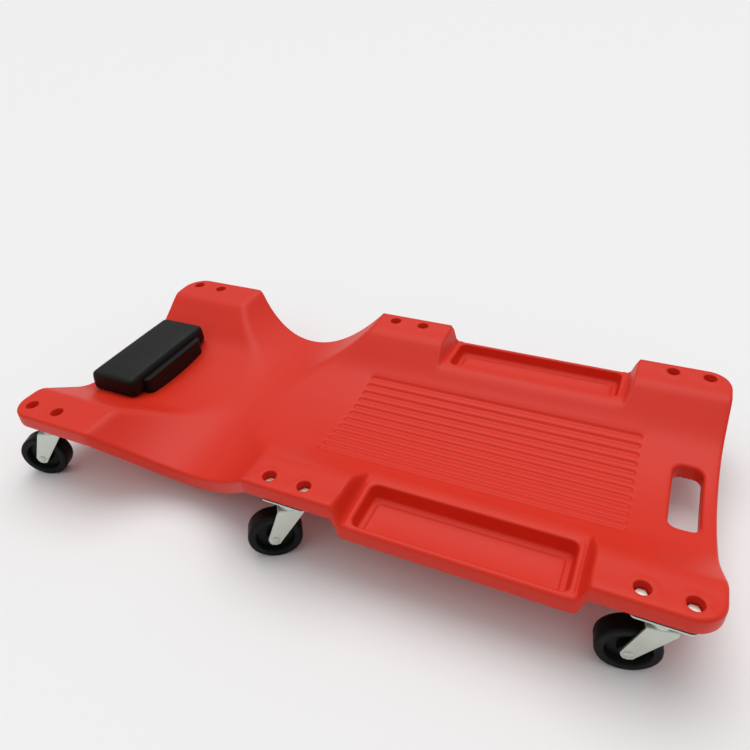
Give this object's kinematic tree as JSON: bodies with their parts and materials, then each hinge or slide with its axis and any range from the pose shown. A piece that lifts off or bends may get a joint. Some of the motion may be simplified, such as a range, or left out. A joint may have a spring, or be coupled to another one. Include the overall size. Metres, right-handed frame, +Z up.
{
  "type": "mechanics creeper",
  "caption": "Low-profile garage creeper with a contoured moulded deck, padded headrest, side tool trays, a handle slot and swivel casters.",
  "frame": {"origin": "on the floor, under the middle of the deck", "axes": "+X along the deck towards the foot end, +Y to the left of somebody who lies on it looking at the foot end, +Z up"},
  "size_m": [1.0394, 0.5266, 0.13],
  "materials": {
    "deck_plastic": "satin moulded polyethylene",
    "vinyl": "soft black vinyl",
    "zinc_plate": "bright zinc plate",
    "bearing_steel": "ground",
    "wheel_black": "hard moulded",
    "black_rubber": "matt"
  },
  "bodies": {
    "deck": {"deck_shell": "deck_plastic", "headrest_cushion": "vinyl", "headrest_base": "vinyl", "headrest_screws": "zinc_plate", "caster_bolts": "zinc_plate", "caster_washers": "zinc_plate", "caster_nuts": "zinc_plate", "caster_spacers": "black_rubber", "head_right_plate": "zinc_plate", "head_right_kingpin": "zinc_plate", "head_right_upper_race": "zinc_plate", "head_right_balls": "bearing_steel", "head_left_plate": "zinc_plate", "head_left_kingpin": "zinc_plate", "head_left_upper_race": "zinc_plate", "head_left_balls": "bearing_steel", "middle_right_plate": "zinc_plate", "middle_right_kingpin": "zinc_plate", "middle_right_upper_race": "zinc_plate", "middle_right_balls": "bearing_steel", "middle_left_plate": "zinc_plate", "middle_left_kingpin": "zinc_plate", "middle_left_upper_race": "zinc_plate", "middle_left_balls": "bearing_steel", "foot_right_plate": "zinc_plate", "foot_right_kingpin": "zinc_plate", "foot_right_upper_race": "zinc_plate", "foot_right_balls": "bearing_steel", "foot_left_plate": "zinc_plate", "foot_left_kingpin": "zinc_plate", "foot_left_upper_race": "zinc_plate", "foot_left_balls": "bearing_steel"},
    "head_right_swivel": {"head_right_fork": "zinc_plate", "head_right_axle": "zinc_plate", "head_right_axle_sleeve": "bearing_steel"},
    "head_right_roller": {"head_right_wheel": "wheel_black"},
    "head_left_swivel": {"head_left_fork": "zinc_plate", "head_left_axle": "zinc_plate", "head_left_axle_sleeve": "bearing_steel"},
    "head_left_roller": {"head_left_wheel": "wheel_black"},
    "middle_right_swivel": {"middle_right_fork": "zinc_plate", "middle_right_axle": "zinc_plate", "middle_right_axle_sleeve": "bearing_steel"},
    "middle_right_roller": {"middle_right_wheel": "wheel_black"},
    "middle_left_swivel": {"middle_left_fork": "zinc_plate", "middle_left_axle": "zinc_plate", "middle_left_axle_sleeve": "bearing_steel"},
    "middle_left_roller": {"middle_left_wheel": "wheel_black"},
    "foot_right_swivel": {"foot_right_fork": "zinc_plate", "foot_right_axle": "zinc_plate", "foot_right_axle_sleeve": "bearing_steel"},
    "foot_right_roller": {"foot_right_wheel": "wheel_black"},
    "foot_left_swivel": {"foot_left_fork": "zinc_plate", "foot_left_axle": "zinc_plate", "foot_left_axle_sleeve": "bearing_steel"},
    "foot_left_roller": {"foot_left_wheel": "wheel_black"}
  },
  "joints": [
    {"name": "head_right_swivel", "type": "hinge", "parent": "deck", "child": "head_right_swivel", "pos_m": [-0.458, -0.2184, 0.09], "axis": [0, 0, 1], "continuous": true},
    {"name": "head_right_spin", "type": "hinge", "parent": "head_right_swivel", "child": "head_right_roller", "pos_m": [-0.48337, -0.22764, 0.038], "axis": [0.342, -0.9397, 0], "continuous": true},
    {"name": "head_left_swivel", "type": "hinge", "parent": "deck", "child": "head_left_swivel", "pos_m": [-0.458, 0.2184, 0.09], "axis": [0, 0, 1], "continuous": true},
    {"name": "head_left_spin", "type": "hinge", "parent": "head_left_swivel", "child": "head_left_roller", "pos_m": [-0.48337, 0.22764, 0.038], "axis": [-0.342, -0.9397, 0], "continuous": true},
    {"name": "middle_right_swivel", "type": "hinge", "parent": "deck", "child": "middle_right_swivel", "pos_m": [-0.015, -0.2184, 0.09], "axis": [0, 0, 1], "continuous": true},
    {"name": "middle_right_spin", "type": "hinge", "parent": "middle_right_swivel", "child": "middle_right_roller", "pos_m": [-0.03764, -0.23311, 0.038], "axis": [0.5446, -0.8387, 0], "continuous": true},
    {"name": "middle_left_swivel", "type": "hinge", "parent": "deck", "child": "middle_left_swivel", "pos_m": [-0.015, 0.2184, 0.09], "axis": [0, 0, 1], "continuous": true},
    {"name": "middle_left_spin", "type": "hinge", "parent": "middle_left_swivel", "child": "middle_left_roller", "pos_m": [-0.03764, 0.23311, 0.038], "axis": [-0.5446, -0.8387, 0], "continuous": true},
    {"name": "foot_right_swivel", "type": "hinge", "parent": "deck", "child": "foot_right_swivel", "pos_m": [0.458, -0.2184, 0.09], "axis": [0, 0, 1], "continuous": true},
    {"name": "foot_right_spin", "type": "hinge", "parent": "foot_right_swivel", "child": "foot_right_roller", "pos_m": [0.4315, -0.22355, 0.038], "axis": [0.1908, -0.9816, 0], "continuous": true},
    {"name": "foot_left_swivel", "type": "hinge", "parent": "deck", "child": "foot_left_swivel", "pos_m": [0.458, 0.2184, 0.09], "axis": [0, 0, 1], "continuous": true},
    {"name": "foot_left_spin", "type": "hinge", "parent": "foot_left_swivel", "child": "foot_left_roller", "pos_m": [0.4315, 0.22355, 0.038], "axis": [-0.1908, -0.9816, 0], "continuous": true}
  ]
}
